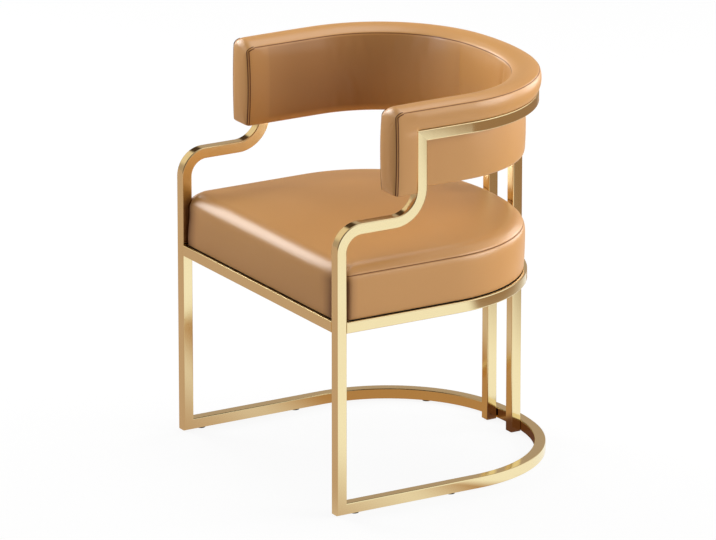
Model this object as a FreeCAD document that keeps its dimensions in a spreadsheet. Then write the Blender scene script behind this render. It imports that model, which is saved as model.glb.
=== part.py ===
# A low-backed reception chair: a frame of bent and mitred square tube, a D-shaped seat cushion
# and a curved backrest pad that runs from arm to arm.
#
# Frame of the part: -Y is the front, +Z is up, and +X is the right side as seen from the front. The
# origin lies on the floor under the middle of the chair. Each piece is drawn with Y measured back
# from the front plane of the legs, and its Placement then moves it forwards by half of the depth.
import FreeCAD, Part
import math
import os

import Sketcher
from FreeCAD import Vector

doc = FreeCAD.newDocument("reception_chair")

# Driving dimensions, in millimetres and degrees
SIZES = {
    # the frame
    "width": 560.0,                # over the outer faces of the legs
    "depth": 544.0,                # front plane to the back of the base ring
    "tube": 20.0,                  # side of the square tube
    "tube_wall": 1.5,
    "tube_bevel": 1.0,             # flat on the tube's outer edges
    "corner_shift": 30.0,          # from the middle line to the centre of a ring's corner arc
    "back_flatness": 170.0,        # how much larger a ring's back arc is than its corner arcs
    "seat_rail_top": 352.0,
    "arm_top": 527.0,
    "back_ring_top": 675.0,
    "upright_setback": 162.0,      # front plane to the front of the uprights
    "arm_bend": 40.0,              # middle radius of the bend over the leg
    "upright_bend": 55.0,          # middle radius of the bend under the upright
    "post_pitch": 82.0,
    "glide_height": 2.0,
    "glide_radius": 8.0,
    "front_glide": 40.0,           # front plane to the foremost glides
    "plug_height": 12.0,
    "plug_fit": 0.2,
    # the seat
    "tab_length": 36.0,
    "tab_width": 34.0,
    "tab_thickness": 3.0,
    "tab_front": 60.0,             # front plane to the middle of the front tabs
    "tab_rear": 200.0,
    "tab_hole_inset": 22.0,
    "dust_cover": 1.0,
    "dust_cover_inset": 7.0,
    "board": 12.0,
    "board_inset": 8.0,
    "leg_clearance": 2.0,
    "cushion_gap": 1.8,            # dark gap between rail and cushion
    "cushion_inset": 4.0,
    "cushion_wall": 66.0,          # height of the upright side of the cushion
    "cushion_belly": 2.0,
    "seam_height": 79.0,           # side seam above the cushion's lower edge
    "roll_rise": 31.0,
    "roll_run": 34.0,
    "roll_angle": 84.0,
    "crown": 9.0,
    "crown_reach": 0.85,           # share of the way to the cushion's middle that the crown climbs
    "cushion_corner": 14.0,
    "front_corner": 9.0,
    "leather": 1.4,
    "soft_gap": 0.3,               # air between soft pieces and their neighbours
    # the backrest
    "pad_bottom": 562.0,
    "pad_thickness": 50.0,         # from the back ring's outer face to the sitter's side
    "pad_proud": 4.0,              # how far the pad swells out past the tube
    "pad_rim": 1.5,                # how far its outer top seam stands out past the tube
    "pad_tuck": 1.0,               # how far it tucks in just above the tube
    "pad_bulge": 2.0,
    "pad_top_inner": 32.0,         # from the back ring's top up to the pad's inner top seam
    "pad_top_outer": 37.0,         # the same for its outer top seam
    "pad_crown": 6.0,
    "pad_front": 115.0,            # front plane to the front ends of the pad
    "upright_gap": 1.5,            # from the pad's ends to the uprights and their bends
    "pad_end_round": 18.0,
    "pad_lower_round": 8.0,
    "pad_corner": 9.0,             # upright front edges of its ends, seen from above
    "panel_gap": 4.0,              # from the tube's inner face to the outer panel
    "panel": 4.0,
    "panel_bulge": 1.4,
    "panel_edge": 1.0,
    "shell": 9.0,
    "shell_end": 7.0,              # from the pad's front end to the shell's end
    "shell_bottom": 8.0,
    "shell_top": 18.0,             # from the top of the pad's crown
    "piping_radius": 1.6,
    "piping_turn": 4.0,            # bend of the inner piping where it meets the top seam
    # the fasteners
    "screw_radius": 3.0,
    "screw_play": 0.4,
    "thread_play": 0.05,
    "nut_seat": 0.2,               # lets a flat flange sit in the ring's curved wall
    "screw_head_radius": 6.0,
    "screw_head": 3.6,
    "screw_reach": 12.0,
    "nut_radius": 4.4,
    "nut_flange_radius": 8.5,
    "nut_flange": 1.0,
    "nut_length": 9.0,
    "spacer_radius": 7.0,
    "head_recess": 0.6,
    "side_screw": 0.5,             # share of the way from the upright to the corner arc
    "corner_screw_angle": 48.0,
}

sheet = doc.addObject("Spreadsheet::Sheet", "Sizes")
for row, (alias, number) in enumerate(SIZES.items(), start=1):
    sheet.set("A%d" % row, alias)
    sheet.set("B%d" % row, "%g" % number)
    sheet.setAlias("B%d" % row, alias)
doc.recompute()

# Places worked out from the sizes, where two or more pieces meet
PLACES = {
    "half_width": "Sizes.width / 2",
    "corner_radius": "Sizes.width / 2 - Sizes.corner_shift",
    "back_radius": "Sizes.width / 2 - Sizes.corner_shift + Sizes.back_flatness",
    "frame_bottom": "Sizes.glide_height",
    "seat_rail_bottom": "Sizes.seat_rail_top - Sizes.tube",
    "back_ring_bottom": "Sizes.back_ring_top - Sizes.tube",
    "back_ring_depth": "Sizes.depth - Sizes.tube",
    "post_outer": "(Sizes.post_pitch + Sizes.tube) / 2",
    "post_inner": "(Sizes.post_pitch - Sizes.tube) / 2",
    # the posts' outer rear edges touch the curved inner wall of the base ring
    "post_rear": "Sizes.depth - Sizes.tube - (back_radius - Sizes.tube)"
                 " + sqrt((back_radius - Sizes.tube)^2 - post_outer^2)",
    "post_front": "post_rear - Sizes.tube",
    # the seat ring's curved outer wall touches the posts' inner front edges
    "seat_ring_depth": "post_front + back_radius - sqrt(back_radius^2 - post_inner^2)",
    "board_bottom": "Sizes.seat_rail_top + Sizes.dust_cover",
    "board_top": "board_bottom + Sizes.board",
    "cushion_bottom": "Sizes.seat_rail_top + Sizes.cushion_gap",
    # the board's front corners stay inside the cover's round ones
    "board_leg_gap": "Sizes.leg_clearance + Sizes.leather + Sizes.soft_gap"
                     " + Sizes.front_corner * (1 - sqrt(0.5))",
    "pad_inner_seam": "Sizes.back_ring_top + Sizes.pad_top_inner",
    "pad_outer_seam": "Sizes.back_ring_top + Sizes.pad_top_outer",
    "panel_outer": "Sizes.tube + Sizes.panel_gap",
    "panel_inner": "panel_outer + Sizes.panel",
    "pad_back": "panel_inner + Sizes.soft_gap",
    "shell_outer": "pad_back + Sizes.leather + Sizes.soft_gap",
    "shell_inner": "shell_outer + Sizes.shell",
}
places = doc.addObject("App::VarSet", "Places")
for name, rule in PLACES.items():
    places.addProperty("App::PropertyFloat", name)
    places.setExpression(name, rule)
doc.recompute()


def size(name):
    """A driving dimension or a worked-out place, as a number."""
    return float(getattr(sheet if name in SIZES else places, name))


# Sketches and bodies
def new_body(label):
    """A body named after its piece, moved forwards by half of the chair's depth."""
    body = doc.addObject("PartDesign::Body", label)
    body.Label = label
    body.setExpression("Placement.Base.y", "-Sizes.depth / 2")
    return body


def new_sketch(body, name, role, offset=None):
    """A sketch on one of the body's own origin planes, or parallel to it by a bound offset."""
    sketch = body.newObject("Sketcher::SketchObject", body.Name + "_" + name)
    plane = [feature for feature in body.Origin.OriginFeatures if feature.Role == role][0]
    sketch.AttachmentSupport = [(plane, "")]
    sketch.MapMode = "FlatFace"
    if offset:
        sketch.setExpression("AttachmentOffset.Base.z", offset)
    return sketch


def bind(sketch, kind, elements, rule, start):
    """Add a measured constraint and tie it to its rule."""
    index = sketch.addConstraint(Sketcher.Constraint(kind, *elements, start))
    sketch.setExpression("Constraints[%d]" % index, rule)


def place_point(sketch, geometry, end, rule_across, rule_up, across, up):
    """Fix one end point of an element by its two distances from the sketch's origin."""
    bind(sketch, "DistanceX", (-1, 1, geometry, end), rule_across, across)
    bind(sketch, "DistanceY", (-1, 1, geometry, end), rule_up, up)


def polygon(sketch, corners):
    """A closed outline whose corners are (rule across, rule up, across, up)."""
    first = sketch.GeometryCount
    count = len(corners)
    for index in range(count):
        start = Vector(corners[index][2], corners[index][3], 0)
        end = Vector(corners[(index + 1) % count][2], corners[(index + 1) % count][3], 0)
        sketch.addGeometry(Part.LineSegment(start, end))
    for index in range(count):
        following = first + (index + 1) % count
        sketch.addConstraint(Sketcher.Constraint("Coincident", first + index, 2, following, 1))
    for index, (rule_across, rule_up, across, up) in enumerate(corners):
        place_point(sketch, first + index, 1, rule_across, rule_up, across, up)


def rectangle(sketch, left, right, low, high):
    """A rectangle; each side is a pair of its rule and its number."""
    polygon(sketch, [(left[0], low[0], left[1], low[1]), (right[0], low[0], right[1], low[1]),
                     (right[0], high[0], right[1], high[1]), (left[0], high[0], left[1], high[1])])


def bevelled_square(sketch, left, low):
    """The tube's outer outline, from its lowest left corner; flats stand for its small rounds."""
    side = size("tube")
    edge = size("tube_bevel")
    steps = [("", 0.0), (" + Sizes.tube_bevel", edge),
             (" + Sizes.tube - Sizes.tube_bevel", side - edge), (" + Sizes.tube", side)]
    around = [(1, 0), (2, 0), (3, 1), (3, 2), (2, 3), (1, 3), (0, 2), (0, 1)]
    polygon(sketch, [(left[0] + steps[column][0], low[0] + steps[row][0],
                      left[1] + steps[column][1], low[1] + steps[row][1]) for column, row in around])


def tube_section(sketch, left, low):
    """The hollow section of the square tube: a bevelled outside and a plain inside."""
    bevelled_square(sketch, left, low)
    wall = size("tube_wall")
    far = size("tube") - wall
    rectangle(sketch, (left[0] + " + Sizes.tube_wall", left[1] + wall),
              (left[0] + " + Sizes.tube - Sizes.tube_wall", left[1] + far),
              (low[0] + " + Sizes.tube_wall", low[1] + wall),
              (low[0] + " + Sizes.tube - Sizes.tube_wall", low[1] + far))


def ring_line(sketch, inset, depth, front, closed=False):
    """The rings' outline seen from above: two sides, two corner arcs and a flatter back arc.

    inset and depth are pairs of a rule and its number, and front is where the sides start."""
    half = size("half_width") - inset[1]
    corner = size("corner_radius") - inset[1]
    back = size("back_radius") - inset[1]
    shift = size("corner_shift")
    middle_y = depth[1] - size("back_radius")
    corner_y = middle_y + math.sqrt(size("back_flatness") ** 2 - shift ** 2)
    turn = math.acos(shift / size("back_flatness"))
    up = Vector(0, 0, 1)
    elements = [
        Part.LineSegment(Vector(half, front[1], 0), Vector(half, corner_y, 0)),
        Part.ArcOfCircle(Part.Circle(Vector(shift, corner_y, 0), up, corner), 0, turn),
        Part.ArcOfCircle(Part.Circle(Vector(0, middle_y, 0), up, back), turn, math.pi - turn),
        Part.ArcOfCircle(Part.Circle(Vector(-shift, corner_y, 0), up, corner), math.pi - turn, math.pi),
        Part.LineSegment(Vector(-half, corner_y, 0), Vector(-half, front[1], 0)),
    ]
    for element in elements:
        sketch.addGeometry(element)
    for index in range(4):
        sketch.addConstraint(Sketcher.Constraint("Tangent", index, 2, index + 1, 1))
    sketch.addConstraint(Sketcher.Constraint("Vertical", 0))
    sketch.addConstraint(Sketcher.Constraint("Symmetric", 0, 1, 4, 2, -2))
    sketch.addConstraint(Sketcher.Constraint("Symmetric", 0, 2, 4, 1, -2))
    sketch.addConstraint(Sketcher.Constraint("Equal", 1, 3))
    bind(sketch, "Radius", (1,), "Places.corner_radius - " + inset[0], corner)
    bind(sketch, "Radius", (2,), "Places.back_radius - " + inset[0], back)
    place_point(sketch, 0, 1, "Places.half_width - " + inset[0], front[0], half, front[1])
    apex = sketch.addGeometry(Part.Point(Vector(0, depth[1] - inset[1], 0)), True)
    sketch.addConstraint(Sketcher.Constraint("PointOnObject", apex, 1, 2))
    sketch.addConstraint(Sketcher.Constraint("PointOnObject", apex, 1, -2))
    bind(sketch, "DistanceY", (-1, 1, apex, 1), depth[0] + " - " + inset[0], depth[1] - inset[1])
    if closed:
        sketch.addGeometry(Part.LineSegment(Vector(-half, front[1], 0), Vector(half, front[1], 0)))
        last = sketch.GeometryCount - 1
        sketch.addConstraint(Sketcher.Constraint("Coincident", 4, 2, last, 1))
        sketch.addConstraint(Sketcher.Constraint("Coincident", last, 2, 0, 1))


def sweep(body, profile, spine):
    """Sweep a section along a whole sketch."""
    pipe = body.newObject("PartDesign::AdditivePipe", body.Name + "_sweep")
    pipe.Profile = profile
    pipe.Spine = (spine, ["Edge%d" % (index + 1) for index in range(len(spine.Shape.Edges))])


def pad(body, profile, rule):
    """Raise a section by a bound length."""
    raised = body.newObject("PartDesign::Pad", body.Name + "_pad")
    raised.Profile = profile
    raised.setExpression("Length", rule)


def cut_through(body, profile, name):
    """Cut a sketch through the body both ways, and see that it took something away."""
    doc.recompute()
    before = body.Shape.Volume
    pocket = body.newObject("PartDesign::Pocket", body.Name + "_" + name)
    pocket.Profile = profile
    pocket.Type = "ThroughAll"
    pocket.Midplane = True
    doc.recompute()
    if not body.Shape.Volume < before:
        raise RuntimeError(body.Name + ": the cut " + name + " takes nothing away")


# The frame: two side tubes, each a front leg, an arm and an upright bent from one length
def side_tube(label, left):
    body = new_body(label)
    body.setExpression("Placement.Base.x", left)
    half = size("tube") / 2
    low = size("frame_bottom")
    top = size("back_ring_top")
    arm = size("arm_top") - half
    rear = size("upright_setback") + half
    first = size("arm_bend")
    second = size("upright_bend")
    section = new_sketch(body, "section", "XY_Plane", "Places.frame_bottom")
    tube_section(section, ("0", 0.0), ("0", 0.0))
    line = new_sketch(body, "line", "YZ_Plane", "Sizes.tube / 2")
    ahead = Vector(0, 0, 1)
    line.addGeometry(Part.LineSegment(Vector(half, low, 0), Vector(half, arm - first, 0)))
    circle = Part.Circle(Vector(half + first, arm - first, 0), ahead, first)
    line.addGeometry(Part.ArcOfCircle(circle, math.pi / 2, math.pi))
    line.addGeometry(Part.LineSegment(Vector(half + first, arm, 0), Vector(rear - second, arm, 0)))
    circle = Part.Circle(Vector(rear - second, arm + second, 0), ahead, second)
    line.addGeometry(Part.ArcOfCircle(circle, -math.pi / 2, 0))
    line.addGeometry(Part.LineSegment(Vector(rear, arm + second, 0), Vector(rear, top, 0)))
    for ends in ((0, 2, 1, 2), (1, 1, 2, 1), (2, 2, 3, 1), (3, 2, 4, 1)):
        line.addConstraint(Sketcher.Constraint("Tangent", *ends))
    line.addConstraint(Sketcher.Constraint("Vertical", 0))
    line.addConstraint(Sketcher.Constraint("Horizontal", 2))
    line.addConstraint(Sketcher.Constraint("Vertical", 4))
    place_point(line, 0, 1, "Sizes.tube / 2", "Places.frame_bottom", half, low)
    bind(line, "DistanceY", (-1, 1, 2, 1), "Sizes.arm_top - Sizes.tube / 2", arm)
    place_point(line, 4, 2, "Sizes.upright_setback + Sizes.tube / 2", "Sizes.back_ring_top", rear, top)
    bind(line, "Radius", (1,), "Sizes.arm_bend", first)
    bind(line, "Radius", (3,), "Sizes.upright_bend", second)
    doc.recompute()
    sweep(body, section, line)
    foot = new_sketch(body, "foot_mitre", "YZ_Plane")
    polygon(foot, [("0", "Places.frame_bottom", 0.0, low),
                   ("Sizes.tube", "Places.frame_bottom", size("tube"), low),
                   ("Sizes.tube", "Places.frame_bottom + Sizes.tube", size("tube"), low + size("tube"))])
    cut_through(body, foot, "foot_cut")
    head = new_sketch(body, "head_mitre", "YZ_Plane")
    setback = size("upright_setback")
    behind = setback + size("tube")
    polygon(head, [("Sizes.upright_setback", "Sizes.back_ring_top", setback, top),
                   ("Sizes.upright_setback + Sizes.tube", "Sizes.back_ring_top", behind, top),
                   ("Sizes.upright_setback + Sizes.tube", "Places.back_ring_bottom",
                    behind, size("back_ring_bottom"))])
    cut_through(body, head, "head_cut")
    return body


right_side_tube = side_tube("right_side_tube", "Places.half_width - Sizes.tube")
left_side_tube = side_tube("left_side_tube", "-Places.half_width")


# The rings: one bent U of tube on the floor, one round the seat and one round the backrest
def ring(label, low, depth, front):
    """A U of tube; low, depth and front are pairs of a rule and its number."""
    body = new_body(label)
    middle = low[0] + " + Sizes.tube / 2"
    line = new_sketch(body, "line", "XY_Plane", middle)
    ring_line(line, ("Sizes.tube / 2", size("tube") / 2), depth, front)
    section = new_sketch(body, "section", "XZ_Plane", "-(" + front[0] + ")")
    tube_section(section, ("Places.half_width - Sizes.tube", size("half_width") - size("tube")), low)
    doc.recompute()
    sweep(body, section, line)
    return body


base_ring = ring("base_ring", ("Places.frame_bottom", size("frame_bottom")),
                 ("Sizes.depth", size("depth")), ("0", 0.0))
mitre = new_sketch(base_ring, "mitre", "YZ_Plane")
polygon(mitre, [("0", "Places.frame_bottom", 0.0, size("frame_bottom")),
                ("Sizes.tube", "Places.frame_bottom + Sizes.tube",
                 size("tube"), size("frame_bottom") + size("tube")),
                ("0", "Places.frame_bottom + Sizes.tube", 0.0, size("frame_bottom") + size("tube"))])
cut_through(base_ring, mitre, "mitre_cut")

seat_ring = ring("seat_ring", ("Places.seat_rail_bottom", size("seat_rail_bottom")),
                 ("Places.seat_ring_depth", size("seat_ring_depth")), ("Sizes.tube", size("tube")))

back_tube = ring("back_ring_tube", ("Places.back_ring_bottom", size("back_ring_bottom")),
                 ("Places.back_ring_depth", size("back_ring_depth")),
                 ("Sizes.upright_setback", size("upright_setback")))
mitre = new_sketch(back_tube, "mitre", "YZ_Plane")
polygon(mitre, [("Sizes.upright_setback", "Places.back_ring_bottom",
                 size("upright_setback"), size("back_ring_bottom")),
                ("Sizes.upright_setback + Sizes.tube", "Places.back_ring_bottom",
                 size("upright_setback") + size("tube"), size("back_ring_bottom")),
                ("Sizes.upright_setback", "Sizes.back_ring_top",
                 size("upright_setback"), size("back_ring_top"))])
cut_through(back_tube, mitre, "mitre_cut")

# The front rail, straight between the front legs
front_rail = new_body("front_rail")
front_rail.setExpression("Placement.Base.x", "-Places.half_width + Sizes.tube")
rail_section = new_sketch(front_rail, "section", "YZ_Plane")
tube_section(rail_section, ("0", 0.0), ("Places.seat_rail_bottom", size("seat_rail_bottom")))
pad(front_rail, rail_section, "Sizes.width - 2 * Sizes.tube")


# The rear posts, from the floor to the underside of the back ring
def rear_post(label, left):
    body = new_body(label)
    body.setExpression("Placement.Base.x", left)
    section = new_sketch(body, "section", "XY_Plane", "Places.frame_bottom")
    tube_section(section, ("0", 0.0), ("Places.post_front", size("post_front")))
    pad(body, section, "Places.back_ring_bottom - Places.frame_bottom")
    return body


rear_post_right = rear_post("rear_post_right", "Places.post_inner")
rear_post_left = rear_post("rear_post_left", "-Places.post_outer")


# Plain shapes used by the fasteners and the soft pieces
def feature(label, shape):
    """A piece whose form is set by Part's own functions."""
    piece = doc.addObject("Part::Feature", label)
    piece.Label = label
    piece.Shape = shape
    piece.setExpression("Placement.Base.y", "-Sizes.depth / 2")
    return piece


def rod(start, direction, from_distance, to_distance, radius):
    """A cylinder along a direction, between two distances from its start point."""
    base = start + direction * from_distance
    return Part.makeCylinder(radius, to_distance - from_distance, base, direction)


def curve_centres(depth):
    """Where a ring's corner arcs and its back arc have their centres, for a ring of this depth."""
    middle_y = depth - size("back_radius")
    shift = size("corner_shift")
    corner_y = middle_y + math.sqrt(size("back_flatness") ** 2 - shift ** 2)
    turn = math.acos(shift / size("back_flatness"))
    return middle_y, corner_y, turn


def polar(x, y, radius, angle):
    """A point on a level circle, at an angle counted from +X."""
    return Vector(x + radius * math.cos(angle), y + radius * math.sin(angle), 0)


def ring_edges(depth, inset, front):
    """The rings' outline as edges, from the right front end round to the left front end."""
    middle_y, corner_y, turn = curve_centres(depth)
    half = size("half_width") - inset
    shift = size("corner_shift")
    corner = size("corner_radius") - inset
    back = size("back_radius") - inset
    ends = [Vector(half, front, 0), Vector(half, corner_y, 0), polar(shift, corner_y, corner, turn),
            polar(-shift, corner_y, corner, math.pi - turn), Vector(-half, corner_y, 0),
            Vector(-half, front, 0)]
    return [
        Part.LineSegment(ends[0], ends[1]).toShape(),
        Part.Arc(ends[1], polar(shift, corner_y, corner, turn / 2), ends[2]).toShape(),
        Part.Arc(ends[2], Vector(0, middle_y + back, 0), ends[3]).toShape(),
        Part.Arc(ends[3], polar(-shift, corner_y, corner, math.pi - turn / 2), ends[4]).toShape(),
        Part.LineSegment(ends[4], ends[5]).toShape(),
    ]


def back_stations(depth):
    """Five places round a ring's outer face, each with the direction that points out of the chair."""
    middle_y, corner_y, turn = curve_centres(depth)
    angle = math.radians(size("corner_screw_angle"))
    upright_rear = size("upright_setback") + size("tube")
    side_y = upright_rear + (corner_y - upright_rear) * size("side_screw")
    stations = [(Vector(0, depth, 0), Vector(0, 1, 0))]
    for side in (1, -1):
        outwards = Vector(side * math.cos(angle), math.sin(angle), 0)
        on_arc = Vector(side * size("corner_shift"), corner_y, 0) + outwards * size("corner_radius")
        stations.append((on_arc, outwards))
        stations.append((Vector(side * size("half_width"), side_y, 0), Vector(side, 0, 0)))
    return stations


# Small pieces at the floor
foot_stations = back_stations(size("depth"))
for side in (1, -1):
    foot_stations.append((Vector(side * size("half_width"), size("front_glide"), 0), Vector(side, 0, 0)))
floor_glides = feature("floor_glides", Part.makeCompound([
    Part.makeCylinder(size("glide_radius"), size("glide_height"), point - outwards * (size("tube") / 2))
    for point, outwards in foot_stations]))

plug_side = size("tube") - 2 * size("tube_wall") - 2 * size("plug_fit")
plug_edge = size("tube_wall") + size("plug_fit")
post_end_plugs = feature("post_end_plugs", Part.makeCompound([
    Part.makeBox(plug_side, plug_side, size("plug_height"),
                 Vector(left + plug_edge, size("post_front") + plug_edge, size("frame_bottom")))
    for left in (size("post_inner"), -size("post_outer"))]))

# The seat's board and the thin black cloth under it, both cut round the front legs
tab_hole_x = size("half_width") - size("tube") - size("tab_hole_inset")
tab_centres = [Vector(side * tab_hole_x, y, 0)
               for side in (1, -1) for y in (size("tab_front"), size("tab_rear"))]


def seat_sheet(label, low, inset, thickness, hole_rule, hole_radius):
    """A flat D with the legs' corners cut out and a hole over each tab."""
    body = new_body(label)
    outline = new_sketch(body, "outline", "XY_Plane", low)
    ring_line(outline, inset, ("Places.seat_ring_depth", size("seat_ring_depth")), inset, closed=True)
    pad(body, outline, thickness)
    corners = new_sketch(body, "corners", "XY_Plane")
    clear = "Places.half_width - Sizes.tube - Places.board_leg_gap"
    across = size("half_width") - size("tube") - size("board_leg_gap")
    behind = size("tube") + size("board_leg_gap")
    for sign, side in (("", 1), ("-", -1)):
        rectangle(corners, (sign + "(" + clear + ")", side * across),
                  (sign + "(Places.half_width)", side * size("half_width")),
                  ("0", 0.0), ("Sizes.tube + Places.board_leg_gap", behind))
    cut_through(body, corners, "corner_cut")
    holes = new_sketch(body, "holes", "XY_Plane")
    for centre in tab_centres:
        circle = holes.addGeometry(Part.Circle(centre, Vector(0, 0, 1), hole_radius))
        sign = "" if centre.x > 0 else "-"
        rule_y = "Sizes.tab_front" if centre.y == size("tab_front") else "Sizes.tab_rear"
        place_point(holes, circle, 3, sign + "(Places.half_width - Sizes.tube - Sizes.tab_hole_inset)",
                    rule_y, centre.x, centre.y)
        bind(holes, "Radius", (circle,), hole_rule, hole_radius)
    cut_through(body, holes, "hole_cut")
    return body


clear_hole = size("screw_radius") + size("screw_play")
seat_board = seat_sheet("seat_board", "Places.board_bottom", ("Sizes.board_inset", size("board_inset")),
                        "Sizes.board", "Sizes.nut_radius + Sizes.plug_fit",
                        size("nut_radius") + size("plug_fit"))
seat_dust_cover = seat_sheet("seat_dust_cover", "Sizes.seat_rail_top",
                             ("Sizes.dust_cover_inset", size("dust_cover_inset")), "Sizes.dust_cover",
                             "Sizes.screw_radius + Sizes.screw_play", clear_hole)

# Steel tabs inside the seat ring, the screws through them and the nuts in the board
upwards = Vector(0, 0, 1)
tab_low = size("seat_rail_top") - size("tab_thickness")
tabs = []
seat_screw_list = []
seat_nut_list = []
for centre in tab_centres:
    reach = math.copysign(size("half_width") - size("tube"), centre.x)
    left = min(reach, reach - math.copysign(size("tab_length"), centre.x))
    plate = Part.makeBox(size("tab_length"), size("tab_width"), size("tab_thickness"),
                         Vector(left, centre.y - size("tab_width") / 2, tab_low))
    tabs.append(plate.cut(rod(centre, upwards, tab_low, size("seat_rail_top"), clear_hole)))
    head = rod(centre, upwards, tab_low - size("screw_head"), tab_low, size("screw_head_radius"))
    shank = rod(centre, upwards, tab_low, size("board_top"), size("screw_radius"))
    seat_screw_list.append(head.fuse(shank).removeSplitter())
    flange = rod(centre, upwards, size("board_top"), size("board_top") + size("nut_flange"),
                 size("nut_flange_radius"))
    barrel = rod(centre, upwards, size("board_top") - size("nut_length"), size("board_top"),
                 size("nut_radius"))
    thread = rod(centre, upwards, size("board_bottom"), size("board_top") + size("nut_flange"),
                 size("screw_radius") + size("thread_play"))
    seat_nut_list.append(flange.fuse(barrel).removeSplitter().cut(thread))
seat_fixing_tabs = feature("seat_fixing_tabs", Part.makeCompound(tabs))
seat_screws = feature("seat_screws", Part.makeCompound(seat_screw_list))
seat_t_nuts = feature("seat_t_nuts", Part.makeCompound(seat_nut_list))


# The seat cushion: D-shaped sections, drawn in at the rail, rolled over the edge and crowned
WALL_STEPS = 3
ROLL_STEPS = 6
LEFT_FRONT = math.radians(225)
RIGHT_FRONT = math.radians(315)


def front_edges(half, front, rear, corner):
    """The edges from a left side at rear, round both front corners, to a right side at rear."""
    start = front + corner
    left, right = corner - half, half - corner
    edges = [Part.Arc(Vector(-half, start, 0), polar(left, start, corner, LEFT_FRONT),
                      Vector(left, front, 0)).toShape(),
             Part.LineSegment(Vector(left, front, 0), Vector(right, front, 0)).toShape(),
             Part.Arc(Vector(right, front, 0), polar(right, start, corner, RIGHT_FRONT),
                      Vector(half, start, 0)).toShape()]
    if rear > start:
        edges.insert(0, Part.LineSegment(Vector(-half, rear, 0), Vector(-half, start, 0)).toShape())
        edges.append(Part.LineSegment(Vector(half, start, 0), Vector(half, rear, 0)).toShape())
    return edges


def cushion_section(inset, height):
    """A closed D at a height, with round front corners."""
    start = inset + size("cushion_corner")
    edges = ring_edges(size("seat_ring_depth"), inset, start)
    edges += front_edges(size("half_width") - inset, inset, start, size("cushion_corner"))
    wire = Part.Wire(edges)
    wire.translate(Vector(0, 0, height))
    return wire


def loft(steps):
    """A solid through D sections, each an inset and a height."""
    return Part.makeLoft([cushion_section(inset, height) for inset, height in steps], True, True)


def cushion_form(skin):
    """The cushion's outer form, or the same form one skin further in: a wall that is drawn in at
    the rail, a roll over the edge, and a crown."""
    low = size("cushion_bottom")
    edge = low + size("cushion_wall")
    inset = size("cushion_inset") + skin
    shares = [index / WALL_STEPS for index in range(WALL_STEPS + 1)]
    wall = [(inset + size("cushion_belly") * (1 - part) ** 2, low + (edge - low) * part)
            for part in shares]
    rise = size("roll_rise") - skin
    run = size("roll_run") - skin
    turns = [math.radians(size("roll_angle")) * index / ROLL_STEPS for index in range(ROLL_STEPS + 1)]
    roll = [(inset + run * (1 - math.cos(turn)), edge + rise * math.sin(turn)) for turn in turns]
    start, top = roll[-1]
    side = curve_centres(size("seat_ring_depth"))[1] - size("cushion_corner")
    span = size("crown_reach") * min(side, size("corner_radius")) - start
    crown = [(start + span * part, top + size("crown") * (1 - (1 - part) ** 2)) for part in shares]
    plug = Part.Face(cushion_section(*wall[0]))
    return [plug.extrude(Vector(0, 0, -size("board"))), loft(wall), loft(roll), loft(crown)]


def joined(solids):
    """Several solids made one."""
    return solids[0].multiFuse(solids[1:])


def between_legs(skin):
    """The plan of the cushion: full width behind the legs, and narrower between them."""
    clearance = size("leg_clearance") + skin
    half = size("half_width") - size("tube") - clearance
    behind = size("tube") + clearance
    corner = size("front_corner") - skin
    middle = behind + corner
    tall = size("back_ring_top")
    edges = front_edges(half, size("cushion_inset") + skin, middle, corner)
    edges.append(Part.LineSegment(Vector(half, middle, 0), Vector(-half, middle, 0)).toShape())
    front = Part.Face(Part.Wire(edges)).extrude(Vector(0, 0, tall))
    rear = Part.makeBox(size("width"), size("depth"), tall, Vector(-size("half_width"), behind, 0))
    return front.fuse(rear)


cushion_outer = joined(cushion_form(0)[1:]).common(between_legs(0))
cushion_hollow = joined(cushion_form(size("leather"))).common(between_legs(size("leather")))
cushion_skin = cushion_outer.cut(cushion_hollow)
seam = size("cushion_bottom") + size("seam_height")
boxing_zone = Part.makeBox(size("width"), size("depth"), seam,
                           Vector(-size("half_width"), size("tube") + size("leg_clearance"), 0))
seat_boxing = feature("seat_boxing", cushion_skin.common(boxing_zone))
seat_top_cover = feature("seat_top_cover", cushion_skin.cut(boxing_zone))
foam_skin = size("leather") + size("soft_gap")
foam_low = size("board_top") + size("nut_flange") + size("soft_gap")
foam_form = joined(cushion_form(foam_skin)[1:]).common(between_legs(foam_skin))
above_board = Part.makeBox(size("width"), size("depth"), size("depth"),
                           Vector(-size("half_width"), 0, foam_low))
seat_foam = feature("seat_foam", foam_form.common(above_board))

# The backrest pad. Its sections are drawn at the right side: across is measured outwards from the
# back ring's outer face, and skin is how far a section lies inside the leather's outer face.
ledge_low = size("back_ring_bottom") + size("soft_gap")
ledge_high = size("back_ring_top") + size("soft_gap")
ledge_back = size("tube") + size("soft_gap")
pad_top = max(size("pad_inner_seam"), size("pad_outer_seam")) + size("pad_crown")
block_end = size("upright_setback") - size("upright_gap")


def outline_face(parts):
    """A face from points across and up: a pair starts a straight side, a triple bends through
    its middle point."""
    points = [Vector(size("half_width") + part[0], 0, part[1]) for part in parts]
    edges = []
    for index, part in enumerate(parts):
        start = points[index]
        end = points[(index + 1) % len(points)]
        if len(part) > 2:
            middle = Vector(size("half_width") + part[2], 0, part[3])
            edges.append(Part.Arc(start, middle, end).toShape())
        else:
            edges.append(Part.LineSegment(start, end).toShape())
    return Part.Face(Part.Wire(edges))


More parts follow.
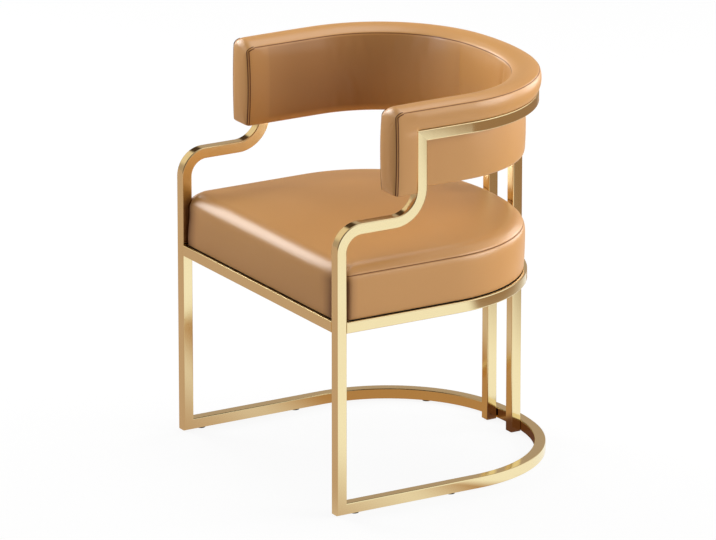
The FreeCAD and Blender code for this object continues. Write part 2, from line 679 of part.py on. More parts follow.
def pad_face(skin, whole):
    """The pad's section: rebated round the back ring, or whole in front of the uprights."""
    low = size("pad_bottom") + skin
    front = -size("pad_thickness") + skin
    bulge = size("pad_bulge")
    inner_top = size("pad_inner_seam") - skin
    outer_top = size("pad_outer_seam") - skin
    rim = size("pad_rim") - skin
    if whole:
        middle = (low + outer_top) / 2
        outside = [(rim, low, size("pad_proud") - skin, middle)]
    else:
        middle = (ledge_high + skin + outer_top) / 2
        outside = [
            (-size("pad_back") - skin, low),
            (-size("pad_back") - skin, ledge_low + skin),
            (-ledge_back - skin, ledge_low + skin),
            (-ledge_back - skin, ledge_high + skin),
            (-size("pad_tuck") - skin, ledge_high + skin, size("pad_proud") - skin, middle),
        ]
    return outline_face(outside + [
        (rim, outer_top, (rim + front) / 2, pad_top - skin),
        (front, inner_top, front - bulge, (low + inner_top) / 2),
        (front, low)])


def round_the_back(face, front):
    """Sweep a section round the back ring's outline, from one side's front round to the other's."""
    path = Part.Wire(ring_edges(size("back_ring_depth"), 0, front))
    face.translate(Vector(0, front, 0))
    return path.makePipe(face)


def both_sides(shape):
    """A shape of the right side, and its mirror image."""
    return [shape, shape.mirror(Vector(0, 0, 0), Vector(1, 0, 0))]


# The end rounds start just past the pad's top and bottom, so that they cut them at an angle
ROUND_PAST = 0.3


def side_window(skin):
    """The pad seen from the side: a large radius at the top of its front end, a small one below,
    and free above, below and behind."""
    front = size("pad_front") + skin
    low = size("pad_bottom") + skin - ROUND_PAST
    high = pad_top - skin + ROUND_PAST
    upper = size("pad_end_round") - skin
    lower = size("pad_lower_round") - skin
    rear = size("depth")
    left = -size("width")
    under = low - size("tube")
    over = high + size("tube")
    lean = math.sqrt(0.5)
    corner_high = Vector(left, front + upper - upper * lean, high - upper + upper * lean)
    corner_low = Vector(left, front + lower - lower * lean, low + lower - lower * lean)
    before_round = [Vector(left, front + lower, low), Vector(left, front + lower, under),
                    Vector(left, rear, under), Vector(left, rear, over),
                    Vector(left, front + upper, over), Vector(left, front + upper, high)]
    edges = [Part.LineSegment(first, second).toShape()
             for first, second in zip(before_round, before_round[1:])]
    edges += [Part.Arc(before_round[-1], corner_high, Vector(left, front, high - upper)).toShape(),
              Part.LineSegment(Vector(left, front, high - upper),
                               Vector(left, front, low + lower)).toShape(),
              Part.Arc(Vector(left, front, low + lower), corner_low, before_round[0]).toShape()]
    return Part.Face(Part.Wire(edges)).extrude(Vector(2 * size("width"), 0, 0))


def plan_window(skin):
    """The pad seen from above: round front corners on both ends, and free behind them."""
    front = size("pad_front") + skin
    inner = size("half_width") - size("pad_thickness") - size("pad_bulge") + skin
    outer = size("half_width") + size("pad_proud") - skin
    tall = 2 * size("pad_bottom")
    block = Part.makeBox(outer - inner, 2 * size("tube"), tall, Vector(inner, front, 0))
    upright = [edge for edge in block.Edges
               if edge.BoundBox.ZLength > tall / 2 and edge.CenterOfMass.y < front + 1]
    block = block.makeFillet(size("pad_corner") - skin, upright)
    behind = Part.makeBox(2 * size("width"), size("depth"), tall,
                          Vector(-size("width"), front + size("tube"), 0))
    return joined([behind] + both_sides(block))


def pad_form(skin):
    """The whole pad: the rebated sweep and the two full ends in front of the uprights."""
    swept = round_the_back(pad_face(skin, False), size("pad_front"))
    end = pad_face(skin, True)
    end.translate(Vector(0, size("pad_front"), 0))
    end = end.extrude(Vector(0, block_end - skin - size("pad_front"), 0))
    return joined([swept] + both_sides(end)).common(side_window(skin)).common(plan_window(skin))


# The bent plywood shell inside the pad, with its counterbored holes
OVERCUT = 1.0
ring_middle = Vector(0, 0, size("back_ring_top") - size("tube") / 2)
ring_stations = [(point + ring_middle, outwards)
                 for point, outwards in back_stations(size("back_ring_depth"))]
shell_low = size("pad_bottom") + size("shell_bottom")
shell_high = pad_top - size("shell_top")


def shell_form(margin):
    """The shell, or the pocket that it lies in when a margin is given."""
    outside = -size("shell_outer") + margin
    inside = -size("shell_inner") - margin
    face = outline_face([(outside, shell_low - margin), (outside, shell_high + margin),
                         (inside, shell_high + margin), (inside, shell_low - margin)])
    return round_the_back(face, size("pad_front") + size("shell_end") - margin)


def station_rods(from_distance, to_distance, radius):
    """One cylinder at each screw, between two distances inwards from the ring's outer face."""
    return [rod(point, -outwards, from_distance, to_distance, radius)
            for point, outwards in ring_stations]


head_top = size("shell_inner") - size("head_recess")
head_under = head_top - size("screw_head")
head_bore = size("screw_head_radius") + size("screw_play")
shell_face = size("shell_inner") + OVERCUT
shell_holes = station_rods(size("shell_outer") - OVERCUT, shell_face, clear_hole)
shell_bores = station_rods(head_under, shell_face, head_bore)
back_shell = feature("back_shell", shell_form(0).cut(joined(shell_holes + shell_bores)))

# Between shell and ring: rivet nuts in the ring's inner wall, steel spacers and the screws
nut_back = size("tube") + size("nut_seat")
nut_face = nut_back + size("nut_flange")
barrel_end = size("tube") - size("nut_length")
screw_end = nut_face - size("screw_reach")
thread_radius = size("screw_radius") + size("thread_play")
back_nut_list = []
back_screw_list = []
back_spacer_list = []
for point, outwards in ring_stations:
    inwards = -outwards
    flange = rod(point, inwards, nut_back, nut_face, size("nut_flange_radius"))
    barrel = rod(point, inwards, barrel_end, nut_back, size("nut_radius"))
    thread = rod(point, inwards, barrel_end, nut_face, thread_radius)
    back_nut_list.append(flange.fuse(barrel).removeSplitter().cut(thread))
    head = rod(point, inwards, head_under, head_top, size("screw_head_radius"))
    shank = rod(point, inwards, screw_end, head_under, size("screw_radius"))
    back_screw_list.append(head.fuse(shank).removeSplitter())
    sleeve = rod(point, inwards, nut_face, size("shell_outer"), size("spacer_radius"))
    back_spacer_list.append(sleeve.cut(rod(point, inwards, nut_face, size("shell_outer"), clear_hole)))
back_rivet_nuts = feature("back_rivet_nuts", Part.makeCompound(back_nut_list))
back_screws = feature("back_screws", Part.makeCompound(back_screw_list))
back_spacers = feature("back_spacers", Part.makeCompound(back_spacer_list))
ring_drills = feature("back_ring_drills", Part.makeCompound(
    station_rods(size("tube") / 2, size("tube") + OVERCUT, size("nut_radius") + size("thread_play"))))
back_ring = doc.addObject("Part::Cut", "back_ring")
back_ring.Label = "back_ring"
back_ring.Base = back_tube
back_ring.Tool = ring_drills

# The piping on the four upright front edges of the two ends: each runs up its edge and turns back
# over the end's round to the top seam
edge_draw = size("pad_corner") * (1 - math.sqrt(0.5))
piping_y = size("pad_front") + edge_draw
piping_low = size("pad_bottom") + size("pad_lower_round")
half_turn = Vector(0, 1 - math.sqrt(0.5), math.sqrt(0.5))


def piping(across, top, bend):
    """A round cord up one edge, bent back to end level with a top seam."""
    low = Vector(across, piping_y, piping_low)
    turn = Vector(across, piping_y, top - bend)
    path = Part.Wire([Part.LineSegment(low, turn).toShape(),
                      Part.Arc(turn, turn + half_turn * bend, Vector(across, piping_y + bend, top)).toShape()])
    ring = Part.Wire(Part.Circle(low, upwards, size("piping_radius")).toShape())
    return path.makePipe(Part.Face(ring))


outer_piping = piping(size("half_width") + size("pad_proud") - edge_draw, size("pad_outer_seam"),
                      size("pad_end_round") - edge_draw)
inner_piping = piping(size("half_width") - size("pad_thickness") - size("pad_bulge") + edge_draw,
                      size("pad_inner_seam"), size("piping_turn"))
right_piping, left_piping = both_sides(Part.makeCompound([outer_piping, inner_piping]))
back_piping_right = feature("back_piping_right", right_piping)
back_piping_left = feature("back_piping_left", left_piping)

# Cover and foam, with holes for the spacers, and the recessed panel below the ring
hole_radius = size("nut_flange_radius") + size("soft_gap")
openings = joined(station_rods(size("tube"), size("shell_outer"), hole_radius)
                  + right_piping.Solids + left_piping.Solids)
back_cover = feature("back_cover", pad_form(0).cut(pad_form(size("leather"))).cut(openings))
back_foam = feature("back_foam", pad_form(foam_skin).cut(shell_form(size("soft_gap"))).cut(openings))
panel_low = size("pad_bottom") + size("panel_edge")
panel_high = size("back_ring_bottom") - size("soft_gap")
panel_out = -size("panel_outer")
panel_in = -size("panel_inner")
panel_face = outline_face([
    (panel_out, panel_low, panel_out + size("panel_bulge"), (panel_low + panel_high) / 2),
    (panel_out, panel_high), (panel_in, panel_high), (panel_in, panel_low)])
back_outer_panel = feature("back_outer_panel", round_the_back(
    panel_face, size("upright_setback") + size("soft_gap")))

# Every piece that is written, in the order of assembly
PIECES = [left_side_tube, right_side_tube, base_ring, seat_ring, front_rail, rear_post_left,
          rear_post_right, back_ring, floor_glides, post_end_plugs, seat_fixing_tabs, seat_dust_cover,
          seat_board, seat_t_nuts, seat_screws, seat_foam, seat_boxing, seat_top_cover, back_rivet_nuts,
          back_spacers, back_screws, back_shell, back_foam, back_cover, back_piping_left,
          back_piping_right, back_outer_panel]

doc.recompute()
for item in doc.Objects:
    if "Invalid" in item.State or "Error" in item.State:
        raise RuntimeError(item.Label + " failed: " + ", ".join(item.State))
for piece in PIECES:
    if piece.Shape.isNull() or not piece.Shape.isValid() or not piece.Shape.Solids:
        raise RuntimeError(piece.Label + " has no valid solid")
os.makedirs("parts", exist_ok=True)
for piece in PIECES:
    piece.Shape.exportStep("parts/%s.step" % piece.Label)
    print("%-18s solids %2d  volume %10.0f  faces %3d" % (piece.Label, len(piece.Shape.Solids),
                                                         piece.Shape.Volume, len(piece.Shape.Faces)))
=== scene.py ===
import math

import bpy
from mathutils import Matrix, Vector


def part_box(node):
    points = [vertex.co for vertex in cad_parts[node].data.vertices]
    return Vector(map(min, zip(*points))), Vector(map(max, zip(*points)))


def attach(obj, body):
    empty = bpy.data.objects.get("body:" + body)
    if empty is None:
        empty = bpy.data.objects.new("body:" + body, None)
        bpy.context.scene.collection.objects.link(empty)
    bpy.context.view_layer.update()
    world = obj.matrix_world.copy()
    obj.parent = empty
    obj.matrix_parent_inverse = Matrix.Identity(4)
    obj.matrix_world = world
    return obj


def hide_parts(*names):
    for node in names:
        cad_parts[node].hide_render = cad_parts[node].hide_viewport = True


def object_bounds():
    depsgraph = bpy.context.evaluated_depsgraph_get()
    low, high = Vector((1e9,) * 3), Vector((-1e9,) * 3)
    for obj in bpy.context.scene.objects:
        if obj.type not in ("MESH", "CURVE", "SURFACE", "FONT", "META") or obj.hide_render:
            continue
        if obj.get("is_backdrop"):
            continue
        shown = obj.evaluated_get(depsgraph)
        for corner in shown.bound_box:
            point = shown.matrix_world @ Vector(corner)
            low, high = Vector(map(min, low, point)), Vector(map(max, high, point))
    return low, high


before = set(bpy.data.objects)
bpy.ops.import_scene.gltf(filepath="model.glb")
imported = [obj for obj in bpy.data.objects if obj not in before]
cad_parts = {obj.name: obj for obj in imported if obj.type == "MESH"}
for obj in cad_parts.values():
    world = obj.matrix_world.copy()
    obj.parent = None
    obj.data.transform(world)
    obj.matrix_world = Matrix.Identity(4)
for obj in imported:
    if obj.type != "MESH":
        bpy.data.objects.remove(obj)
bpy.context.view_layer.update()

# The camera stands far off, to the right of the chair's front and a little above it.
# Its long lens keeps the far arm almost as large as the near one.
MM = 0.001
LENS = 340.1
AIM = Vector((0.08, -62.6, 342.1)) * MM
AZIMUTH = math.radians(59.11)
ELEVATION = math.radians(17.4)
DISTANCE = 11.985
backwards = Vector((math.sin(AZIMUTH) * math.cos(ELEVATION), -math.cos(AZIMUTH) * math.cos(ELEVATION),
                    math.sin(ELEVATION)))
bpy.ops.object.camera_add(location=AIM + backwards * DISTANCE)
camera = bpy.context.object
camera.rotation_mode = "QUATERNION"
camera.rotation_quaternion = (-backwards).to_track_quat("-Z", "Y")
camera.data.lens = LENS
camera.data.clip_end = 100
bpy.context.scene.camera = camera
bpy.context.scene.view_settings.view_transform = "Standard"


# The studio: a pale floor under a white surround. The polished frame mirrors patches of light and
# shade in both, while softboxes light the leather and the floor alone.
# Materials are made of nodes; Wire lets a value in them be written as plain arithmetic.
class Wire:
    """One value inside a finish."""

    def __init__(self, finish, socket):
        self.finish = finish
        self.socket = socket

    def maths(self, operation, *values):
        return self.finish.add("ShaderNodeMath", {"operation": operation}, *values)

    def __add__(self, other):
        return self.maths("ADD", self, other)

    def __radd__(self, other):
        return self.maths("ADD", other, self)

    def __rsub__(self, other):
        return self.maths("SUBTRACT", other, self)

    def __mul__(self, other):
        return self.maths("MULTIPLY", self, other)

    def __rmul__(self, other):
        return self.maths("MULTIPLY", other, self)


class Finish:
    """A material, or the surround, that is built node by node."""

    def __init__(self, name, holder=None):
        self.holder = holder or bpy.data.materials.new(name)
        self.holder.use_nodes = True
        self.tree = self.holder.node_tree
        self.tree.nodes.clear()

    def add(self, kind, settings, *values, out=0, **named):
        """A node with its settings and the values of its sockets; gives one of its outputs."""
        node = self.tree.nodes.new(kind)
        for name, value in settings.items():
            setattr(node, name, value)
        for key, value in list(enumerate(values)) + list(named.items()):
            socket = node.inputs[key if isinstance(key, int) else key.replace("_", " ")]
            if isinstance(value, Wire):
                self.tree.links.new(value.socket, socket)
            else:
                socket.default_value = value
        return Wire(self, node.outputs[out]) if node.outputs else None

    def place(self):
        """Where a point of the piece is, in metres."""
        return self.add("ShaderNodeTexCoord", {}, out=3)

    def noise(self, place, scale, detail=2.0, roughness=0.5):
        """Soft blotches, from 0 to 1."""
        return self.add("ShaderNodeTexNoise", {}, Vector=place, Scale=scale, Detail=detail,
                        Roughness=roughness)

    def blend(self, share, first, second):
        """A colour between two others."""
        node = self.tree.nodes.new("ShaderNodeMix")
        node.data_type = "RGBA"
        sockets = node.inputs[0], node.inputs[6], node.inputs[7]
        for socket, value in zip(sockets, (share, first, second)):
            if isinstance(value, Wire):
                self.tree.links.new(value.socket, socket)
            else:
                socket.default_value = value
        return Wire(self, node.outputs[2])

    def bump(self, height, distance, strength=1.0):
        """Small unevenness of the surface, its height given in metres."""
        return self.add("ShaderNodeBump", {}, Height=height, Distance=distance, Strength=strength)

    def cover(self, **values):
        """The surface itself."""
        surface = self.add("ShaderNodeBsdfPrincipled", {}, **values)
        self.add("ShaderNodeOutputMaterial", {}, surface)
        return self.holder


def share_towards(finish, place, direction, start, full):
    """How far a place or a ray lies towards a direction, from 0 at start to 1 at full."""
    along = finish.add("ShaderNodeVectorMath", {"operation": "DOT_PRODUCT"}, place, Vector(direction),
                       out=1)
    return finish.add("ShaderNodeMapRange", {"interpolation_type": "SMOOTHSTEP"}, along,
                      start, full, 0.0, 1.0)


def ray_kinds(finish):
    """Whether the camera sees the point straight or in a mirror."""
    rays = finish.tree.nodes.new("ShaderNodeLightPath")
    return Wire(finish, rays.outputs["Is Camera Ray"]), Wire(finish, rays.outputs["Is Glossy Ray"])


# Each patch of the surround is a direction and where the patch starts and is full.
WHITE = [1.0, 1.0, 1.0, 1.0]
OPEN_ROOM = (0.764, -0.637, 0.106), 0.15, 0.95
WINDOW = (0.62, 0.70, 0.35), 0.45, 0.85
LAMP_GLOW = (-0.85, -0.27, 0.45), 0.92, 0.985
DARK_GAP = (-0.82, 0.18, 0.545), 0.975, 0.994
WALLS_IN_MIRRORS = [0.44, 0.35, 0.28, 1.0]
PATCHES_IN_MIRRORS = [(WINDOW, WHITE), (OPEN_ROOM, [0.10, 0.07, 0.05, 1.0]),
                      (LAMP_GLOW, [0.8, 0.68, 0.52, 1.0]), (DARK_GAP, [0.06, 0.035, 0.02, 1.0])]
SOFT_LIGHT = [0.45, 0.45, 0.45, 1.0]
SOFT_LIGHT_OF_ROOM = [0.13, 0.12, 0.11, 1.0]

surround = Finish("surround", bpy.data.worlds.new("surround"))
bpy.context.scene.world = surround.holder
ray = surround.add("ShaderNodeTexCoord", {})
seen, mirrored = ray_kinds(surround)
mirror_light = WALLS_IN_MIRRORS
for patch, colour in PATCHES_IN_MIRRORS:
    mirror_light = surround.blend(share_towards(surround, ray, *patch), mirror_light, colour)
soft_light = surround.blend(share_towards(surround, ray, *OPEN_ROOM), SOFT_LIGHT, SOFT_LIGHT_OF_ROOM)
light = surround.blend(seen, surround.blend(mirrored, soft_light, mirror_light), WHITE)
surround.add("ShaderNodeOutputWorld", {}, surround.add("ShaderNodeBackground", {}, light, 1.0))

# Each shade on the floor lies where all its patches overlap. Only mirrors see these shades.
FLOOR_SIZE = 60
FLOOR_MATT = [0.86, 0.86, 0.86, 1.0]
FLOOR_IN_MIRRORS = [0.97, 0.97, 0.97, 1.0]
FLOOR_SHOWN = 0.9
IN_FRONT = [((-0.2, -0.98, 0.0), -0.12, 0.35)]
BEHIND = [((-0.3, 0.95, 0.0), 0.3, 0.55), ((0.45, 0.89, 0.0), 0.5, 1.3)]
UNDER_SEAT = [((0.0, 1.0, 0.0), -0.13, 0.06), ((-1.0, -1.0, 0.0), -0.38, -0.30)]
BESIDE_POSTS = [((0.0, 1.0, 0.0), 0.11, 0.17), ((1.0, 0.0, 0.0), -0.06, -0.01),
                ((-1.0, -1.0, 0.0), -0.40, -0.33)]
FLOOR_SHADES = [(IN_FRONT, [0.55, 0.40, 0.31, 1.0]), (BEHIND, [0.33, 0.21, 0.13, 1.0]),
                (UNDER_SEAT, [0.46, 0.26, 0.12, 1.0]), (BESIDE_POSTS, [0.12, 0.05, 0.03, 1.0])]

bpy.ops.mesh.primitive_plane_add(size=FLOOR_SIZE, location=(0, 0, 0))
floor = bpy.context.object
floor.name = "studio_floor"
paper = Finish("studio_paper")
seen, mirrored = ray_kinds(paper)
spot = paper.place()
in_mirrors = FLOOR_IN_MIRRORS
for patches, colour in FLOOR_SHADES:
    shares = [share_towards(paper, spot, *patch) for patch in patches]
    overlap = shares[0]
    for share in shares[1:]:
        overlap = overlap.maths("MINIMUM", overlap, share)
    in_mirrors = paper.blend(overlap, in_mirrors, colour)
matt = paper.add("ShaderNodeBsdfDiffuse", {}, FLOOR_MATT)
shown = paper.add("ShaderNodeEmission", {}, WHITE, 1.0)
reflected = paper.add("ShaderNodeEmission", {}, in_mirrors, 1.0)
pale = paper.add("ShaderNodeMixShader", {}, seen * FLOOR_SHOWN, matt, shown)
paper.add("ShaderNodeOutputMaterial", {}, paper.add("ShaderNodeMixShader", {}, mirrored, pale, reflected))
floor.data.materials.append(paper.holder)
floor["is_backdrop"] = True

# Each softbox: its name, its stand, its side in metres and its power in watts.
SOFTBOXES = [("left_softbox", (-3.3, -1.2, 2.1), 2.0, 95.0),
             ("top_softbox", (-0.3, 0.9, 3.8), 2.4, 55.0),
             ("right_softbox", (2.3, 2.8, 1.4), 2.2, 95.0),
             ("rear_softbox", (-0.6, 3.8, 1.05), 2.0, 55.0)]
SOFTBOX_AIM = (0.0, 0.0, 0.4)
SPOT_STAND = (-0.2, -1.7, 1.35)
SPOT_AIM = (0.02, 0.2, 0.66)
SPOT_POWER = 115.0
SPOT_COLOUR = (0.9, 1.0, 1.15)
SPOT_CONE = math.radians(16)
SPOT_SOFTNESS = 0.25


def add_lamp(kind, name, stand, aim, power, lit):
    """A lamp that lights the pieces of one collection alone."""
    bpy.ops.object.light_add(type=kind, location=stand)
    lamp = bpy.context.object
    lamp.name = name
    lamp.data.energy = power
    lamp.light_linking.receiver_collection = lit
    lamp.rotation_mode = "QUATERNION"
    lamp.rotation_quaternion = (Vector(aim) - Vector(stand)).to_track_quat("-Z", "Y")
    return lamp


soft_lit = bpy.data.collections.new("lit_by_softboxes")
soft_lit.objects.link(floor)
for name, stand, side, power in SOFTBOXES:
    add_lamp("AREA", name, stand, SOFTBOX_AIM, power, soft_lit).data.size = side
pad_lit = bpy.data.collections.new("lit_by_pad_spot")
pad_spot = add_lamp("SPOT", "pad_spot", SPOT_STAND, SPOT_AIM, SPOT_POWER, pad_lit)
pad_spot.data.color = SPOT_COLOUR
pad_spot.data.spot_size = SPOT_CONE
pad_spot.data.spot_blend = 1.0
pad_spot.data.shadow_soft_size = SPOT_SOFTNESS

# Two side tubes of 20 mm square steel tube, each a front leg, an arm and an upright bent from one
# length. Their ends are mitred to the base ring and the back ring, welded, ground flush, plated in
# a pale gold colour and polished.
TUBE = 0.020
ROUND = 0.002
ROUND_STEPS = 4
QUARTER = math.pi / 2
OUTER = 0.280
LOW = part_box("left_side_tube")[0].z
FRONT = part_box("left_side_tube")[0].y
ARM_TOP = 0.527
ARM_BEND = 0.040
UPRIGHT_BEND = 0.055
UPRIGHT_SETBACK = 0.162
BEND_STEP = math.radians(3)
SHARP_EDGE = math.radians(40)


def shade(red, green, blue):
    """A colour given in screen values, as the light values that a material takes."""
    return [(part / 255 / 12.92 if part < 10 else ((part / 255 + 0.055) / 1.055) ** 2.4)
            for part in (red, green, blue)] + [1.0]


def plate_gold():
    """Polished gold-coloured plating, with a faint haze and grain from the polishing wheel."""
    gold = Finish("polished_gold_plating")
    place = gold.place()
    haze = gold.noise(place, 9.0, 3.0)
    grain = gold.noise(place, 900.0, 2.0)
    waves = gold.noise(place, 24.0)
    tone = gold.blend(haze, shade(249, 234, 188), shade(245, 226, 174))
    return gold.cover(Base_Color=tone, Metallic=1.0, Roughness=0.085 + 0.05 * haze + 0.02 * grain,
                      Normal=gold.bump(waves, 0.0002, 0.25))


gold_plating = plate_gold()


def start_tube(name, centre, turn):
    """Open the tube's rounded square section at one end of the tube."""
    bpy.ops.object.select_all(action="DESELECT")
    bpy.ops.mesh.primitive_plane_add(size=TUBE, location=centre, rotation=turn)
    tube = bpy.context.object
    tube.name = name
    bpy.ops.object.transform_apply(location=True, rotation=True, scale=True)
    bpy.ops.object.mode_set(mode="EDIT")
    bpy.ops.mesh.select_all(action="SELECT")
    bpy.ops.mesh.bevel(offset=ROUND, affect="VERTICES", segments=ROUND_STEPS)
    bpy.ops.mesh.select_all(action="SELECT")
    bpy.ops.mesh.delete(type="ONLY_FACE")
    bpy.ops.mesh.select_all(action="SELECT")
    return tube


def run_tube(along):
    """A straight stretch."""
    bpy.ops.mesh.extrude_edges_move(TRANSFORM_OT_translate={"value": along})


def bend_tube(centre, axis, angle):
    """A bend about an axis; the operator turns against the right-hand rule."""
    steps = max(round(abs(angle) / BEND_STEP), 1)
    bpy.ops.mesh.spin(steps=steps, angle=-angle, center=centre, axis=axis)


def end_tube(tube, node, cuts=()):
    """Mitre or close the ends, point the faces outwards and give the tube its finish."""
    for point, outwards in cuts:
        bpy.ops.mesh.select_all(action="SELECT")
        bpy.ops.mesh.bisect(plane_co=point, plane_no=outwards, use_fill=True, clear_outer=True)
    bpy.ops.mesh.select_all(action="DESELECT")
    bpy.ops.mesh.select_non_manifold(use_wire=False, use_multi_face=False, use_non_contiguous=False,
                                     use_verts=False)
    bpy.ops.mesh.fill_holes(sides=0)
    bpy.ops.mesh.select_all(action="SELECT")
    bpy.ops.mesh.normals_make_consistent(inside=False)
    bpy.ops.object.mode_set(mode="OBJECT")
    bpy.ops.object.shade_smooth_by_angle(angle=SHARP_EDGE)
    weighted = tube.modifiers.new("flat_faces_stay_flat", "WEIGHTED_NORMAL")
    weighted.keep_sharp = True
    bpy.ops.object.modifier_apply(modifier=weighted.name)
    tube.data.materials.append(gold_plating)
    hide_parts(node)
    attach(tube, "root")


for side, word in ((-1, "left"), (1, "right")):
    middle = side * (OUTER - TUBE / 2)
    arm = ARM_TOP - TUBE / 2
    leg_y = FRONT + TUBE / 2
    rear_y = FRONT + UPRIGHT_SETBACK + TUBE / 2
    ring_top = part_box(word + "_side_tube")[1].z
    foot_mitre = (middle, FRONT, LOW), (0, 1, -1)
    top_mitre = (middle, FRONT + UPRIGHT_SETBACK, ring_top), (0, 1, 1)
    side_tube = start_tube("side_tube_" + word, (middle, leg_y, LOW), (0, 0, 0))
    run_tube((0, 0, arm - ARM_BEND - LOW))
    bend_tube((middle, leg_y + ARM_BEND, arm - ARM_BEND), (1, 0, 0), -QUARTER)
    run_tube((0, rear_y - UPRIGHT_BEND - leg_y - ARM_BEND, 0))
    bend_tube((middle, rear_y - UPRIGHT_BEND, arm + UPRIGHT_BEND), (1, 0, 0), QUARTER)
    run_tube((0, 0, ring_top - arm - UPRIGHT_BEND))
    end_tube(side_tube, word + "_side_tube", [foot_mitre, top_mitre])

# Three rings of the same tube, each bent to one outline of two corner arcs and a flatter back arc:
# the base ring on the floor, the seat ring between the legs and the back ring round the backrest.
CORNER_SHIFT = 0.030
CORNER_RADIUS = OUTER - CORNER_SHIFT - TUBE / 2
FLATNESS = 0.170


def bend_ring(name, node, front, cuts=()):
    """One ring, bent from the right front end round to the left one."""
    low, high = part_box(node)
    level = (low.z + high.z) / 2
    middle_y = high.y - TUBE / 2 - CORNER_RADIUS - FLATNESS
    corner_y = middle_y + math.sqrt(FLATNESS ** 2 - CORNER_SHIFT ** 2)
    turn = math.acos(CORNER_SHIFT / FLATNESS)
    ring = start_tube(name, (OUTER - TUBE / 2, front, level), (QUARTER, 0, 0))
    run_tube((0, corner_y - front, 0))
    bend_tube((CORNER_SHIFT, corner_y, level), (0, 0, 1), turn)
    bend_tube((0, middle_y, level), (0, 0, 1), math.pi - 2 * turn)
    bend_tube((-CORNER_SHIFT, corner_y, level), (0, 0, 1), turn)
    run_tube((0, front - corner_y, 0))
    end_tube(ring, node, cuts)


base_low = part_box("base_ring")[0].z
bend_ring("base_ring_bent", "base_ring", FRONT, [((0, FRONT, base_low), (0, -1, 1))])
bend_ring("seat_ring_bent", "seat_ring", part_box("seat_ring")[0].y)
back_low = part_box("back_ring")[0].z
back_front = FRONT + UPRIGHT_SETBACK
back_mitre = (0, back_front + TUBE, back_low), (0, -1, -1)
bend_ring("back_ring_bent", "back_ring", back_front, [back_mitre])

# The front rail and the two rear posts are plain lengths of the tube. The rail is butted between
# the front legs; the posts stand inside the base ring and carry the back ring.
rail_low, rail_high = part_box("front_rail")
rail_end = (rail_low.x, FRONT + TUBE / 2, (rail_low.z + rail_high.z) / 2)
rail = start_tube("front_rail_tube", rail_end, (0, QUARTER, 0))
run_tube((rail_high.x - rail_low.x, 0, 0))
end_tube(rail, "front_rail")
for word in ("left", "right"):
    low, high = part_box("rear_post_" + word)
    post_foot = ((low.x + high.x) / 2, (low.y + high.y) / 2, low.z)
    post = start_tube("post_tube_" + word, post_foot, (0, 0, 0))
    run_tube((0, 0, high.z - low.z))
    end_tube(post, "rear_post_" + word)


# Small parts: plastic glides under the base ring and plugs in the posts' open ends, and the steel
# tabs, plywood board and black cloth under the cushion, with their screws and nuts.
def plain_finish(name, colour, metallic, rough, blotch_scale):
    """A plain surface whose colour and sheen vary a little, so that it doesn't look computed."""
    finish = Finish(name)
    blotch = finish.noise(finish.place(), blotch_scale, 3.0)
    darker = [part * 0.82 for part in colour[:3]] + [1.0]
    return finish.cover(Base_Color=finish.blend(blotch, darker, colour), Metallic=metallic,
                        Roughness=rough + 0.1 * blotch, Normal=finish.bump(blotch, 0.0001, 0.4))


def dress(material, *nodes):
    """Give CAD pieces that stay as they are their finish."""
    for node in nodes:
        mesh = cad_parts[node].data
        mesh.materials.clear()
        mesh.materials.append(material)


black_plastic = plain_finish("black_moulded_plastic", shade(38, 38, 40), 0.0, 0.5, 300.0)
zinc = plain_finish("zinc_plated_steel", shade(178, 182, 188), 1.0, 0.28, 220.0)
black_cloth = plain_finish("black_non_woven_cloth", shade(30, 29, 29), 0.0, 0.85, 1200.0)
dress(black_plastic, "floor_glides", "post_end_plugs")
dress(gold_plating, "seat_fixing_tabs")
dress(zinc, "seat_screws", "seat_t_nuts", "back_screws", "back_rivet_nuts", "back_spacers")
dress(black_cloth, "seat_dust_cover")

birch = Finish("birch_plywood")
layer = birch.add("ShaderNodeMapping", {"vector_type": "POINT"}, birch.place(), Scale=(6.0, 90.0, 700.0))
grain = birch.noise(layer, 1.0, 4.0)
birch_tone = birch.blend(grain, shade(196, 160, 112), shade(226, 198, 154))
dress(birch.cover(Base_Color=birch_tone, Metallic=0.0, Roughness=0.55 + 0.15 * grain),
      "seat_board", "back_shell")

# The seat cushion: a D-shaped form with upright sides, a full roll over its edges and a low crown.
# A seam runs round its sides and back, and the top leather runs down over the front edge unsewn.
# From here on, lengths are millimetres, and y is counted back from the chair's front.
HALF = OUTER / MM
CORNER_MID = CORNER_SHIFT / MM
CORNER_R = HALF - CORNER_MID
BACK_R = CORNER_R + FLATNESS / MM


def leather_finish(name):
    """Smooth caramel leather with a fine grain; painted shade darkens its seams' grooves and shaded
    hollows.
    """
    hide = Finish(name)
    place = hide.place()
    blotch = hide.noise(place, 5.0, 3.0)
    pores = hide.noise(place, 1100.0, 3.0, 0.6)
    creases = hide.noise(place, 38.0, 3.0)
    # Painted shade, written into each piece: it turns the leather deep brown and dulls its gloss.
    painted_shade = hide.add("ShaderNodeAttribute", {"attribute_name": "painted_shade"}, out=2)
    tone = hide.blend(blotch, shade(190, 135, 70), shade(197, 143, 77))
    tone = hide.blend(painted_shade, tone, shade(84, 38, 18))
    sheen = 0.39 + 0.08 * blotch + 0.06 * pores
    return hide.cover(Base_Color=tone, Roughness=sheen + 0.5 * painted_shade, Specular_IOR_Level=0.5,
                      Coat_Weight=0.45 - 0.45 * painted_shade, Coat_Roughness=0.3,
                      Normal=hide.bump(pores + 0.6 * creases, 0.00012, 0.5))


leather = leather_finish("caramel_leather")


def path_centres(depth):
    """Where the outline's corner arcs and its back arc have their centres, back from the front."""
    middle = depth - BACK_R
    return middle, middle + math.sqrt((BACK_R - CORNER_R) ** 2 - CORNER_MID ** 2)


def spread(first, last, count):
    """Evenly spaced values, without the last."""
    return [first + (last - first) * index / count for index in range(count)]


